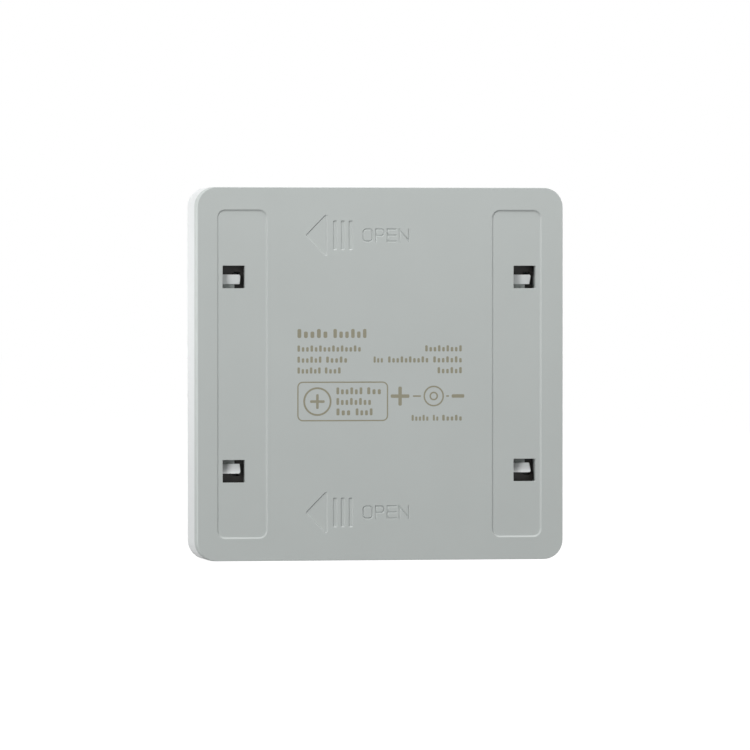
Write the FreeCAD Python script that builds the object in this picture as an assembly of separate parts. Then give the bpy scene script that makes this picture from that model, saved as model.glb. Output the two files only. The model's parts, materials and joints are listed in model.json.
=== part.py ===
import FreeCAD, Part
import os

from FreeCAD import Vector

# Wireless wall switch with four keys.
# The wall is at Y = 0 and the keys face -Y, with Z up. Depths are millimetres in front of the wall.
# Places on the back are given as seen from behind the switch, where "right" is -X.

# Whole device
side = 86.0
thickness = 14.0
corner_radius = 4.5

# How far a cutter runs past the face that it opens
past = 1.0

# Back cover
cover_skin = 1.6
cover_rim_depth = 2.1
cover_rim_width = 2.0
cover_edge_chamfer = 0.5
rim_gap = 0.05
guide_rib_width = 1.0
guide_rib_depth = 2.0
guide_rib_clearance = 0.15
stop_rib_end_gap = 13.0

# Shallow strips for the adhesive tape
tape_width = 11.7
tape_end_margin = 4.7
tape_radius = 1.6
tape_recess = 0.3
tape_from_edge = 5.0

# Windows over the catches
window_size = 5.2
window_from_strip = 1.92
window_up = 22.55

# Catch between the housing's tongue and the cover's ledge
slide_travel = 4.0
tongue_width = 2.35
tongue_from_window = 0.4
tongue_thickness = 1.5
tongue_ramp = 0.7
tongue_end_gap = 0.8
tongue_under_skin = 0.6
tongue_clearance = 0.12
tongue_corner = 0.5
post_thickness = 1.05
ledge_thickness = 1.0
ledge_length = 3.2
ledge_clearance = 0.1
ledge_rib = 0.8

# Opening marks engraved in the back
engraving_depth = 0.22
mark_from_edge = 10.9
arrow_apex = -17.2
arrow_width = 5.1
arrow_height = 9.4
arrow_corner = 0.35
bar_count = 3
bar_first = -10.35
bar_pitch = 1.8
bar_width = 1.0
bar_height = 7.0
bar_corner = 0.25
letter_height = 3.3
letter_stroke = 0.42
letter_left = -3.85
letter_gap = 0.45
letter_corner = 0.9
bowl_height = 1.9
bowl_corner = 0.8
slant_rise = 0.7
letter_widths = {"O": 2.5, "P": 2.25, "E": 2.35, "N": 2.6}

# Housing
wall = 1.6
frame_step = 0.7
frame_edge_radius = 0.8
deck_wall = 1.1
deck_standoff = 1.0
boss_radius = 2.5
boss_front = 1.2

# Battery tray
tray_wall = 1.0
tray_gap = 0.3
tray_edge_gap = 0.2
tray_screw_inset = 3.9
hole_ease = 0.2

# Circuit board
pcb_post_gap = 2.77
pcb_past_led = 5.5
pcb_thickness = 1.0
pcb_gap = 0.8
pcb_radius = 1.5
pcb_screw_inset = 3.5

# Screws
screw_radius = 1.0
screw_clearance = 0.04
screw_head_radius = 1.9
screw_head_height = 1.1
screw_head_round = 0.5
screw_length = 3.6
screw_slot = 0.4
screw_slot_depth = 0.6
screw_slot_reach = 1.1
screw_tip_gap = 0.1

# Coin cell, 24.5 mm by 3.0 mm
cell_diameter = 24.5
cell_thickness = 3.0
cell_cap_inset = 1.45
cell_can_round = 0.4
cell_cap_round = 0.3
separator_inset = 1.0
cell_can_wall = 0.25
cell_can_depth = 2.75
holder_clearance = 0.2
holder_wall = 1.8
holder_floor = 0.7
holder_hole = 18.0
holder_notch = 14.0
holder_notch_reach = 3.8
holder_below_cell = 0.6
holder_lip = 0.5
holder_lip_length = 6.0
holder_lip_gap = 0.05
contact_sheet = 0.25
contact_width = 4.0
contact_touch_gap = 0.02
contact_foot = 2.6
contact_reach = 3.5
leaf_end = -5.0
leaf_bend = -2.5
leaf_touch = 2.0
leaf_flat = 4.0
leaf_tip = 5.5
clip_slot_gap = 0.2

# Tact switches
switch_up = 14.0
switch_size = 6.0
switch_base_height = 1.9
switch_cavity_radius = 2.4
switch_cavity_depth = 1.2
switch_shell_sheet = 0.25
switch_base_chamfer = 0.4
switch_leg_width = 3.0
switch_leg_gap = 0.2
plunger_radius = 1.7
plunger_clearance = 0.1
plunger_flange_radius = 2.2
plunger_flange_height = 0.5
plunger_flange_gap = 0.05
plunger_round = 0.3
plunger_height = 4.0
dome_radius = 2.15
dome_height = 0.3
dome_sheet = 0.1
switch_hole_gap = 0.5

# Keys
key_wall = 1.5
key_skirt = 1.2
key_gap = 0.4
key_edge_radius = 0.5
key_inner_corner = 0.6
skirt_clearance = 0.8
key_boss_radius = 2.4
key_touch_gap = 0.05
pivot_above_deck = 1.7
pin_radius = 0.6
pin_clearance = 0.05
ear_thickness = 1.6
ear_width = 2.4
ear_gap = 0.25
ear_cap_gap = 0.3
latch_width = 5.0
latch_leg = 1.0
latch_barb = 0.6
latch_barb_height = 0.4
latch_inset = 4.0
latch_gap = 0.35
latch_stop_gap = 0.05

# Key lights
lens_from_edge = 8.5
lens_length = 6.0
lens_width = 1.4
lens_flange = 0.6
lens_end_flat = 0.02
lens_gap = 0.05
lens_hole_radius = 1.5
led_length = 3.0
led_width = 1.4
led_height = 0.6
led_dome_length = 1.8

# Radio module and small components
radio_gap = 6.25
radio_width = 16.0
radio_height = 12.0
radio_board_thickness = 0.8
shield_width = 11.0
shield_height = 9.0
shield_depth = 1.6
shield_inset = 0.6
shield_radius = 0.5
shield_round = 0.2
radio_opening_gap = 0.6
antenna_line = 0.5
antenna_thickness = 0.1
antenna_turns = 4
antenna_first = 0.75
chip_place = (-14.0, -24.0)
chip_size = 5.0
chip_height = 0.7
chip_dot_inset = 0.9
chip_dot_radius = 0.35
chip_dot_depth = 0.1
crystal_place = (-20.5, -24.0)
crystal_size = (3.2, 2.5)
crystal_height = 0.6
crystal_radius = 0.5
capacitor_places = [(-14.0, -19.5), (-9.0, -24.0), (-9.0, -26.5), (-14.0, -28.5), (-18.0, -28.5)]
capacitor_size = (1.6, 0.8)
capacitor_height = 0.6

# Worked out from the sizes above
half = side / 2
inner_half = half - wall
tongue_back = cover_skin + tongue_clearance
tongue_front = tongue_back + tongue_thickness
ledge_back = tongue_front + ledge_clearance
ledge_front = ledge_back + ledge_thickness
tray_back = ledge_front + tray_gap
tray_front = tray_back + tray_wall
pcb_back = tray_front + pcb_gap
pcb_front = pcb_back + pcb_thickness
deck_back = pcb_front + deck_standoff
deck_front = deck_back + deck_wall
housing_back = cover_rim_depth + rim_gap
frame_front = thickness - frame_step
tape_across = half - tape_from_edge - tape_width / 2
tape_length = side - 2 * tape_end_margin
window_across = tape_across + window_from_strip
tongue_up = window_up - tongue_from_window
mark_up = half - mark_from_edge
key_outer = inner_half - key_gap
key_inner = key_gap / 2
key_roof = thickness - key_wall
skirt_back = deck_front + skirt_clearance
pivot_up = key_outer - key_skirt - ear_gap - ear_width / 2
pivot_depth = deck_front + pivot_above_deck
switch_across = (key_outer + key_inner) / 2
lens_up = key_outer - lens_from_edge
pcb_width = 2 * (window_across - window_size / 2 + tongue_end_gap - pcb_post_gap)
pcb_height = 2 * (lens_up + pcb_past_led)
pcb_screw_across = pcb_width / 2 - pcb_screw_inset
pcb_screw_up = pcb_height / 2 - pcb_screw_inset
switch_front = pcb_front + switch_base_height
plunger_tip = pcb_front + plunger_height
cell_front = pcb_back - holder_floor
cell_back = cell_front - cell_thickness
holder_radius = cell_diameter / 2 + holder_clearance + holder_wall
radio_up = holder_radius + radio_gap + radio_height / 2
tray_screw_place = inner_half - tray_screw_inset

quarters = [(1, 1), (-1, 1), (1, -1), (-1, -1)]
parts = {}


def block(x0, x1, depth0, depth1, z0, z1):
    """A box between two depths."""
    corner = Vector(min(x0, x1), -depth1, min(z0, z1))
    return Part.makeBox(abs(x1 - x0), depth1 - depth0, abs(z1 - z0), corner)


def centred_block(x, z, width, height, depth0, depth1):
    """A box centred on a place across the device."""
    return block(x - width / 2, x + width / 2, depth0, depth1, z - height / 2, z + height / 2)


def disc(x, z, radius, depth0, depth1):
    """A round post or hole along Y."""
    return Part.makeCylinder(radius, depth1 - depth0, Vector(x, -depth1, z), Vector(0, 1, 0))


def corner_edges(shape):
    """The edges that run along Y."""
    return [e for e in shape.Edges if e.BoundBox.YLength > 1e-6 and e.BoundBox.DiagonalLength
            - e.BoundBox.YLength < 1e-6]


def plane_edges(shape, depth):
    """The edges that lie at one depth."""
    return [e for e in shape.Edges if abs(e.BoundBox.YMin + depth) < 1e-4
            and abs(e.BoundBox.YMax + depth) < 1e-4]


def rounded_slab(x, z, width, height, radius, depth0, depth1):
    """A slab with round corners in plan."""
    slab = centred_block(x, z, width, height, depth0, depth1)
    return slab.makeFillet(radius, corner_edges(slab))


def prism(places, depth0, depth1):
    """A straight prism from places given as x and z."""
    points = [Vector(x, -depth1, z) for x, z in places]
    face = Part.Face(Part.makePolygon(points + points[:1]))
    return face.extrude(Vector(0, depth1 - depth0, 0))


def fused(first, others):
    """One solid from a base and what grows out of it."""
    return first.fuse(others).removeSplitter()


def from_behind(places):
    """Places seen from behind, turned into x and z."""
    return [(-right, up) for right, up in places]


def open_pocket(places):
    """A cutter for an engraved shape, open at the wall side."""
    return prism(from_behind(places), -past, engraving_depth)


def bar_cutter(right0, right1, up0, up1):
    return open_pocket([(right0, up0), (right1, up0), (right1, up1), (right0, up1)])


def ring_cutter(right, up, width, height, radius):
    """A rounded outline of one letter stroke."""
    inner = 2 * letter_stroke
    outside = rounded_slab(-right, up, width, height, radius, -past, engraving_depth)
    inside = rounded_slab(-right, up, width - inner, height - inner, radius - letter_stroke,
                          -2 * past, engraving_depth + past)
    return outside.cut(inside)


def letter_cutters(left, up):
    """The word OPEN in plain single strokes."""
    low = up - letter_height / 2
    high = up + letter_height / 2
    stroke = letter_stroke
    cutters = []
    start = left
    width = letter_widths["O"]
    cutters.append(ring_cutter(start + width / 2, up, width, letter_height, letter_corner))

    start += width + letter_gap
    width = letter_widths["P"]
    cutters.append(bar_cutter(start, start + stroke, low, high))
    bowl = ring_cutter(start + (width - past) / 2, high - bowl_height / 2, width + past,
                       bowl_height, bowl_corner)
    keep = block(-start - stroke, -start - width - past, -past, engraving_depth, low, high)
    cutters.append(bowl.common(keep))

    start += width + letter_gap
    width = letter_widths["E"]
    cutters.append(bar_cutter(start, start + stroke, low, high))
    for arm in (low, up - stroke / 2, high - stroke):
        cutters.append(bar_cutter(start + stroke, start + width, arm, arm + stroke))

    start += width + letter_gap
    width = letter_widths["N"]
    end = start + width
    cutters.append(bar_cutter(start, start + stroke, low, high))
    cutters.append(bar_cutter(end - stroke, end, low, high))
    cutters.append(open_pocket([(start + stroke, high), (start + stroke, high - slant_rise),
                                (end - stroke, low), (end - stroke, low + slant_rise)]))
    return cutters


def opening_mark(up):
    """An arrow, three bars and a word, which say which way the cover slides off."""
    arrow_side = arrow_apex + arrow_width
    arrow = open_pocket([(arrow_apex, up), (arrow_side, up - arrow_height / 2),
                         (arrow_side, up + arrow_height / 2)])
    cutters = [arrow.makeFillet(arrow_corner, corner_edges(arrow))]
    for number in range(bar_count):
        middle = bar_first + number * bar_pitch
        cutters.append(rounded_slab(-middle, up, bar_width, bar_height, bar_corner,
                                    -past, engraving_depth))
    return cutters + letter_cutters(letter_left, up)


def window_places():
    """Centre of each window, with +1 or -1 for the upper and lower row."""
    return [(x_side * window_across, z_side * window_up, z_side) for x_side, z_side in quarters]


def make_back_cover():
    body = rounded_slab(0, 0, side, side, corner_radius, 0, cover_rim_depth)
    body = body.makeChamfer(cover_edge_chamfer, plane_edges(body, 0))
    pocket_side = side - 2 * cover_rim_width
    pocket = rounded_slab(0, 0, pocket_side, pocket_side, corner_radius - cover_rim_width,
                          cover_skin, cover_rim_depth + past)
    body = body.cut(pocket)

    added = []
    rib_front = cover_skin + guide_rib_depth
    rib_outer = inner_half - guide_rib_clearance
    rib_end = inner_half - slide_travel - (corner_radius - wall) - guide_rib_clearance
    rib_start = inner_half - (corner_radius - wall) - guide_rib_width
    for z_side in (1, -1):
        added.append(block(-rib_start, rib_end, cover_skin, rib_front,
                           z_side * rib_outer, z_side * (rib_outer - guide_rib_width)))
    added.append(block(-rib_outer, -rib_outer + guide_rib_width, cover_skin, rib_front,
                       stop_rib_end_gap - half, half - stop_rib_end_gap))

    cutters = []
    for x_side in (1, -1):
        cutters.append(rounded_slab(x_side * tape_across, 0, tape_width, tape_length, tape_radius,
                                    -past, tape_recess))
    for x, z, z_side in window_places():
        cutters.append(centred_block(x, z, window_size, window_size, -past, cover_skin + past))
        ledge_right = x + window_size / 2 - ledge_length
        rib_face = z_side * (window_up - window_size / 2)
        outer_face = z_side * (tongue_up + tongue_width / 2)
        added.append(block(ledge_right, x + window_size / 2, cover_skin, ledge_front,
                           rib_face, rib_face - z_side * ledge_rib))
        added.append(block(ledge_right, x + window_size / 2, ledge_back, ledge_front,
                           rib_face, outer_face))
    for z_side in (1, -1):
        cutters += opening_mark(z_side * mark_up)
    body = body.cut(cutters)
    return fused(body, added)


def hook(x, z_side):
    """A post with a ramped tongue that lies over a ledge of the cover."""
    post_right = x - window_size / 2 + tongue_end_gap
    tongue_left = x + window_size / 2 + tongue_under_skin
    outer = z_side * (tongue_up + tongue_width / 2)
    inner = z_side * (tongue_up - tongue_width / 2)
    post = block(post_right, post_right + post_thickness, tongue_front, deck_back, inner, outer)
    section = [Vector(post_right, -tongue_back, outer),
               Vector(post_right, -tongue_back - tongue_ramp, inner),
               Vector(post_right, -tongue_front, inner),
               Vector(post_right, -tongue_front, outer)]
    tongue = Part.Face(Part.makePolygon(section + section[:1]))
    body = fused(tongue.extrude(Vector(tongue_left - post_right, 0, 0)), [post])
    corner = [e for e in corner_edges(body) if abs(e.BoundBox.XMin - post_right) < 1e-3
              and abs(e.BoundBox.ZMin - outer) < 1e-3]
    return body.makeFillet(tongue_corner, corner)


def make_front_housing():
    body = rounded_slab(0, 0, side, side, corner_radius, housing_back, frame_front)
    body = body.makeFillet(frame_edge_radius, plane_edges(body, frame_front))
    inner_side = side - 2 * wall
    inner_radius = corner_radius - wall
    back_room = rounded_slab(0, 0, inner_side, inner_side, inner_radius, housing_back - past, deck_back)
    front_room = rounded_slab(0, 0, inner_side, inner_side, inner_radius, deck_front, frame_front + past)
    body = body.cut([back_room, front_room])

    added = []
    cutters = []
    for x_side, z_side in quarters:
        added.append(hook(x_side * window_across, z_side))
        screw_x = x_side * pcb_screw_across
        screw_z = z_side * pcb_screw_up
        added.append(disc(screw_x, screw_z, boss_radius, pcb_front, deck_back))
        added.append(disc(screw_x, screw_z, boss_radius, deck_front, deck_front + boss_front))
        cutters.append(disc(screw_x, screw_z, screw_radius + screw_clearance, pcb_front - past,
                            pcb_back + screw_length + screw_tip_gap))
        corner_x = x_side * tray_screw_place
        corner_z = z_side * tray_screw_place
        added.append(disc(corner_x, corner_z, boss_radius, tray_front, deck_back))
        cutters.append(disc(corner_x, corner_z, screw_radius + screw_clearance, tray_front - past,
                            tray_back + screw_length + screw_tip_gap))

        hole = switch_size + 2 * switch_shell_sheet + 2 * switch_hole_gap
        cutters.append(centred_block(x_side * switch_across, z_side * switch_up, hole, hole,
                                     deck_back - past, deck_front + past))
        cutters.append(disc(x_side * switch_across, z_side * lens_up, lens_hole_radius,
                            deck_back - past, deck_front + past))
        latch_z = z_side * (latch_inset + latch_leg / 2)
        slot_height = latch_leg + latch_barb + 2 * latch_gap
        cutters.append(centred_block(x_side * switch_across, latch_z + z_side * latch_barb / 2,
                                     latch_width + 2 * latch_gap, slot_height,
                                     deck_back - past, deck_front + past))
        for ear_x in ear_places(x_side):
            ear = block(ear_x - ear_thickness / 2, ear_x + ear_thickness / 2, deck_front,
                        key_roof - ear_cap_gap, z_side * pivot_up - ear_width / 2,
                        z_side * pivot_up + ear_width / 2)
            added.append(ear)
            cutters.append(pin_along_x(ear_x - ear_thickness, ear_x + ear_thickness,
                                       z_side * pivot_up, pin_radius + pin_clearance))
    body = fused(body, added)
    return body.cut(cutters).removeSplitter()


def key_span(x_side):
    """Left and right limits of one key."""
    return sorted((x_side * key_inner, x_side * key_outer))


def ear_places(x_side):
    """Middle of the two ears that carry one key."""
    low, high = key_span(x_side)
    reach = key_skirt + ear_gap + ear_thickness / 2
    return (low + reach, high - reach)


def pin_along_x(x0, x1, z, radius):
    return Part.makeCylinder(radius, x1 - x0, Vector(x0, -pivot_depth, z), Vector(1, 0, 0))


def make_key(x_side, z_side):
    """A cap with a skirt, two pivot pins, a boss over its switch and a latch."""
    size = key_outer - key_inner
    x = x_side * (key_outer + key_inner) / 2
    z = z_side * (key_outer + key_inner) / 2
    body = centred_block(x, z, size, size, skirt_back, thickness)
    outer_corner = [e for e in corner_edges(body) if abs(abs(e.BoundBox.XMin) - key_outer) < 1e-3
                    and abs(abs(e.BoundBox.ZMin) - key_outer) < 1e-3]
    body = body.makeFillet(corner_radius - wall - key_gap, outer_corner)
    inner_corners = [e for e in corner_edges(body) if abs(abs(e.BoundBox.XMin) - key_inner) < 1e-3
                     or abs(abs(e.BoundBox.ZMin) - key_inner) < 1e-3]
    body = body.makeFillet(key_inner_corner, inner_corners)
    body = body.makeFillet(key_edge_radius, plane_edges(body, thickness))
    room = size - 2 * key_skirt
    body = body.cut(rounded_slab(x, z, room, room, key_inner_corner, skirt_back - past, key_roof))

    low, high = key_span(x_side)
    pin_length = key_skirt / 2 + ear_gap + ear_thickness
    pin_z = z_side * pivot_up
    added = [pin_along_x(low + key_skirt / 2, low + key_skirt / 2 + pin_length, pin_z, pin_radius),
             pin_along_x(high - key_skirt / 2 - pin_length, high - key_skirt / 2, pin_z, pin_radius)]
    switch_x = x_side * switch_across
    added.append(disc(switch_x, z_side * switch_up, key_boss_radius, plunger_tip + key_touch_gap,
                      key_roof))
    leg_z = z_side * latch_inset
    barb_back = deck_back - latch_stop_gap - latch_barb_height
    added.append(block(switch_x - latch_width / 2, switch_x + latch_width / 2, barb_back, key_roof,
                       leg_z, leg_z + z_side * latch_leg))
    barb_end = leg_z - z_side * (latch_gap + latch_barb)
    added.append(block(switch_x - latch_width / 2, switch_x + latch_width / 2, barb_back,
                       barb_back + latch_barb_height, leg_z, barb_end))
    body = fused(body, added)
    return body.cut(lens_solid(x_side, z_side, lens_gap, past)).removeSplitter()


def lens_solid(x_side, z_side, grow, through):
    """The light bar in a key, or with a gap added the slot that it fits."""
    x = x_side * switch_across
    z = z_side * lens_up
    width = lens_length + 2 * grow
    height = lens_width + 2 * grow
    return rounded_slab(x, z, width, height, (height - lens_end_flat) / 2,
                        key_roof - through, thickness + through)


def make_lens(x_side, z_side):
    x = x_side * switch_across
    z = z_side * lens_up
    bar = lens_solid(x_side, z_side, 0, 0)
    flange = centred_block(x, z, lens_length + 2 * lens_flange, lens_width + 2 * lens_flange,
                           key_roof - lens_flange, key_roof)
    return fused(bar, [flange])


def make_battery_tray():
    tray_side = 2 * (inner_half - tray_edge_gap)
    body = rounded_slab(0, 0, tray_side, tray_side, corner_radius - wall - tray_edge_gap,
                        tray_back, tray_front)
    cutters = [disc(0, 0, holder_radius + 2 * holder_clearance, tray_back - past, tray_front + past)]
    opening_width = radio_width + 2 * radio_opening_gap
    opening_height = radio_height + 2 * radio_opening_gap
    cutters.append(centred_block(0, radio_up, opening_width, opening_height,
                                 tray_back - past, tray_front + past))
    clip_half = contact_width / 2 + 2 * clip_slot_gap
    cutters.append(block(-clip_half, clip_half, tray_back - past, tray_front + past,
                         0, -holder_radius - contact_foot - clip_slot_gap))
    for x_side, z_side in quarters:
        cutters.append(disc(x_side * tray_screw_place, z_side * tray_screw_place,
                            screw_radius + screw_clearance, tray_back - past, tray_front + past))
        cutters.append(disc(x_side * pcb_screw_across, z_side * pcb_screw_up,
                            screw_head_radius + 2 * hole_ease, tray_back - past, tray_front + past))
        post_right = x_side * window_across - window_size / 2 + tongue_end_gap
        cutters.append(centred_block(post_right + post_thickness / 2, z_side * tongue_up,
                                     post_thickness + 2 * hole_ease, tongue_width + 2 * hole_ease,
                                     tray_back - past, tray_front + past))
    return body.cut(cutters)


def make_pcb():
    body = rounded_slab(0, 0, pcb_width, pcb_height, pcb_radius, pcb_back, pcb_front)
    holes = [disc(x_side * pcb_screw_across, z_side * pcb_screw_up, screw_radius + screw_clearance,
                  pcb_back - past, pcb_front + past) for x_side, z_side in quarters]
    return body.cut(holes)


def screw(x, z, seat):
    """A pan-head screw whose head rests at the seat's depth."""
    shank = disc(x, z, screw_radius, seat, seat + screw_length)
    head = disc(x, z, screw_head_radius, seat - screw_head_height, seat)
    top = seat - screw_head_height
    head = head.makeFillet(screw_head_round, plane_edges(head, top))
    body = fused(head, [shank])
    reach = 2 * screw_slot_reach
    slots = [centred_block(x, z, reach, screw_slot, top - past, top + screw_slot_depth),
             centred_block(x, z, screw_slot, reach, top - past, top + screw_slot_depth)]
    return body.cut(slots)


def make_screws(across, up, seat):
    return Part.makeCompound([screw(x_side * across, z_side * up, seat) for x_side, z_side in quarters])


def make_coin_cell():
    """Steel can with the positive face at the back, negative cap in front and the seal between."""
    can_radius = cell_diameter / 2
    cap_radius = can_radius - cell_cap_inset
    can = disc(0, 0, can_radius, cell_back, cell_back + cell_can_depth)
    can = can.makeFillet(cell_can_round, plane_edges(can, cell_back))
    can = can.cut(disc(0, 0, can_radius - cell_can_wall, cell_back + cell_can_wall,
                       cell_back + cell_can_depth + past))
    cap = disc(0, 0, cap_radius, cell_back + 2 * cell_can_wall, cell_front)
    cap = cap.makeFillet(cell_cap_round, plane_edges(cap, cell_front))
    seal_back = cell_back + cell_can_wall
    seal_front = cell_back + cell_can_depth
    seal = disc(0, 0, can_radius - cell_can_wall, seal_back, seal_front)
    seal = seal.cut(disc(0, 0, cap_radius, seal_back - past, seal_front + past))
    separator = disc(0, 0, cap_radius - separator_inset, cell_back + cell_can_wall,
                     cell_back + 2 * cell_can_wall)
    parts["coin_cell_can"] = can
    parts["coin_cell_cap"] = cap
    parts["coin_cell_gasket"] = Part.makeCompound([seal, separator])


def make_cell_holder():
    inner = cell_diameter / 2 + holder_clearance
    holder_back = cell_back + holder_below_cell
    body = disc(0, 0, holder_radius, holder_back, pcb_back)
    cutters = [disc(0, 0, inner, holder_back - past, cell_front),
               disc(0, 0, holder_hole / 2, cell_front - past, pcb_back + past),
               centred_block(0, holder_radius, holder_notch, 2 * holder_notch_reach,
                             holder_back - past, cell_front)]
    clip_half = contact_width / 2 + clip_slot_gap
    cutters.append(block(-clip_half, clip_half, holder_back - past, pcb_back + past,
                         -inner, -holder_radius - past))
    body = body.cut(cutters)
    lips = []
    lip_front = cell_back - holder_lip_gap
    lip_back = lip_front - holder_lip
    for x_side in (1, -1):
        lips.append(block(x_side * (inner - holder_lip), x_side * (inner + holder_wall / 2),
                          lip_back, lip_front, -holder_lip_length / 2, holder_lip_length / 2))
        lips.append(block(x_side * (inner + holder_clearance), x_side * (inner + holder_wall / 2),
                          lip_back, holder_back + holder_lip,
                          -holder_lip_length / 2, holder_lip_length / 2))
    return fused(body, lips)


def strip(points, width):
    """A bent sheet strip across X, drawn as a closed outline of z and depth."""
    outline = [Vector(-width / 2, -depth, z) for z, depth in points]
    face = Part.Face(Part.makePolygon(outline + outline[:1]))
    return face.extrude(Vector(width, 0, 0))


def make_contacts():
    sheet = contact_sheet
    inner = cell_diameter / 2 + holder_clearance
    top = cell_back - contact_touch_gap
    foot = pcb_back - sheet
    reach = cell_diameter / 2 - contact_reach
    end = -holder_radius - contact_foot
    riser = -inner - holder_clearance
    parts["positive_contact"] = strip([(end, pcb_back), (end, foot), (riser - sheet, foot),
                                       (riser - sheet, top - sheet), (-reach, top - sheet),
                                       (-reach, top), (riser, top), (riser, pcb_back)],
                                      contact_width)
    touch = cell_front + contact_touch_gap
    parts["negative_contact"] = strip([(leaf_end, pcb_back), (leaf_end, foot), (leaf_bend, foot),
                                       (leaf_touch, touch), (leaf_flat, touch),
                                       (leaf_tip, touch + sheet), (leaf_tip, touch + 2 * sheet),
                                       (leaf_flat, touch + sheet), (leaf_touch, touch + sheet),
                                       (leaf_bend, pcb_back)], contact_width)


def make_switch(number, x_side, z_side):
    x = x_side * switch_across
    z = z_side * switch_up
    base = centred_block(x, z, switch_size, switch_size, pcb_front, switch_front)
    base = base.makeChamfer(switch_base_chamfer, corner_edges(base))
    cavity_floor = switch_front - switch_cavity_depth
    parts[f"switch_base_{number}"] = base.cut(disc(x, z, switch_cavity_radius, cavity_floor,
                                                  switch_front + past))
    shell_front = switch_front + switch_shell_sheet
    plate = centred_block(x, z, switch_size, switch_size + 2 * switch_shell_sheet,
                          switch_front, shell_front)
    plate = plate.cut(disc(x, z, plunger_radius + plunger_clearance, switch_front - past,
                           shell_front + past))
    legs = []
    for leg_side in (1, -1):
        leg_z = z + leg_side * (switch_size + switch_shell_sheet) / 2
        legs.append(centred_block(x, leg_z, switch_leg_width, switch_shell_sheet,
                                  pcb_front + switch_leg_gap, switch_front))
    parts[f"switch_shell_{number}"] = fused(plate, legs)

    rise = dome_height
    sphere_radius = (dome_radius ** 2 + rise ** 2) / (2 * rise)
    centre = Vector(x, -(cavity_floor + rise - sphere_radius), z)
    dome = Part.makeSphere(sphere_radius, centre).cut(Part.makeSphere(sphere_radius - dome_sheet, centre))
    parts[f"switch_dome_{number}"] = dome.common(disc(x, z, dome_radius + past, cavity_floor,
                                                    cavity_floor + rise + past))

    flange_front = switch_front - plunger_flange_gap
    flange = disc(x, z, plunger_flange_radius, flange_front - plunger_flange_height, flange_front)
    stem = disc(x, z, plunger_radius, flange_front, plunger_tip)
    stem = stem.makeFillet(plunger_round, plane_edges(stem, plunger_tip))
    parts[f"switch_plunger_{number}"] = fused(flange, [stem])


def make_led(x_side, z_side):
    x = x_side * switch_across
    z = z_side * lens_up
    base = centred_block(x, z, led_length, led_width, pcb_front, pcb_front + led_height / 2)
    dome = centred_block(x, z, led_dome_length, led_width, pcb_front + led_height / 2,
                         pcb_front + led_height)
    return fused(base, [dome])


def make_radio():
    board_back = pcb_back - radio_board_thickness
    parts["radio_board"] = centred_block(0, radio_up, radio_width, radio_height, board_back, pcb_back)
    shield_x = -(radio_width - shield_width) / 2 + shield_inset
    shield = rounded_slab(shield_x, radio_up, shield_width, shield_height, shield_radius,
                          board_back - shield_depth, board_back)
    parts["radio_shield"] = shield.makeFillet(shield_round, plane_edges(shield, board_back - shield_depth))
    start = shield_x + shield_width / 2 + antenna_line
    pitch = radio_height / (2 * antenna_turns + 1)
    run = radio_width / 2 - start - antenna_line
    bars = []
    for number in range(2 * antenna_turns):
        z = radio_up - radio_height / 2 + (number + antenna_first) * pitch
        bars.append(block(start, start + run, board_back - antenna_thickness, board_back,
                          z, z + antenna_line))
        end = start if number % 2 else start + run - antenna_line
        if number < 2 * antenna_turns - 1:
            bars.append(block(end, end + antenna_line, board_back - antenna_thickness, board_back,
                              z + antenna_line, z + pitch))
    parts["antenna_trace"] = fused(bars[0], bars[1:])


def make_small_components():
    x, z = chip_place
    chip_back = pcb_back - chip_height
    chip = centred_block(x, z, chip_size, chip_size, chip_back, pcb_back)
    corner = chip_size / 2 - chip_dot_inset
    dot = disc(x - corner, z + corner, chip_dot_radius, chip_back - past, chip_back + chip_dot_depth)
    parts["controller_chip"] = chip.cut(dot)
    x, z = crystal_place
    width, height = crystal_size
    parts["crystal"] = rounded_slab(x, z, width, height, crystal_radius,
                                    pcb_back - crystal_height, pcb_back)
    width, height = capacitor_size
    parts["capacitors"] = Part.makeCompound([centred_block(x, z, width, height,
                                                           pcb_back - capacitor_height, pcb_back)
                                             for x, z in capacitor_places])


def make_all():
    parts["back_cover"] = make_back_cover()
    parts["front_housing"] = make_front_housing()
    parts["battery_tray"] = make_battery_tray()
    parts["pcb"] = make_pcb()
    parts["pcb_screws"] = make_screws(pcb_screw_across, pcb_screw_up, pcb_back)
    parts["tray_screws"] = make_screws(tray_screw_place, tray_screw_place, tray_back)
    make_coin_cell()
    parts["cell_holder"] = make_cell_holder()
    make_contacts()
    for index, (x_side, z_side) in enumerate(quarters):
        number = index + 1
        make_switch(number, x_side, z_side)
        parts[f"key_{number}"] = make_key(x_side, z_side)
        parts[f"key_lens_{number}"] = make_lens(x_side, z_side)
        parts[f"led_{number}"] = make_led(x_side, z_side)
    make_radio()
    make_small_components()


make_all()
os.makedirs("parts", exist_ok=True)
for name, shape in parts.items():
    shape.exportStep(f"parts/{name}.step")
    print(f"{name}: {len(shape.Solids)} solid(s), {shape.Volume:.1f} mm3, valid {shape.isValid()}")
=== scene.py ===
import json
import math

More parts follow.
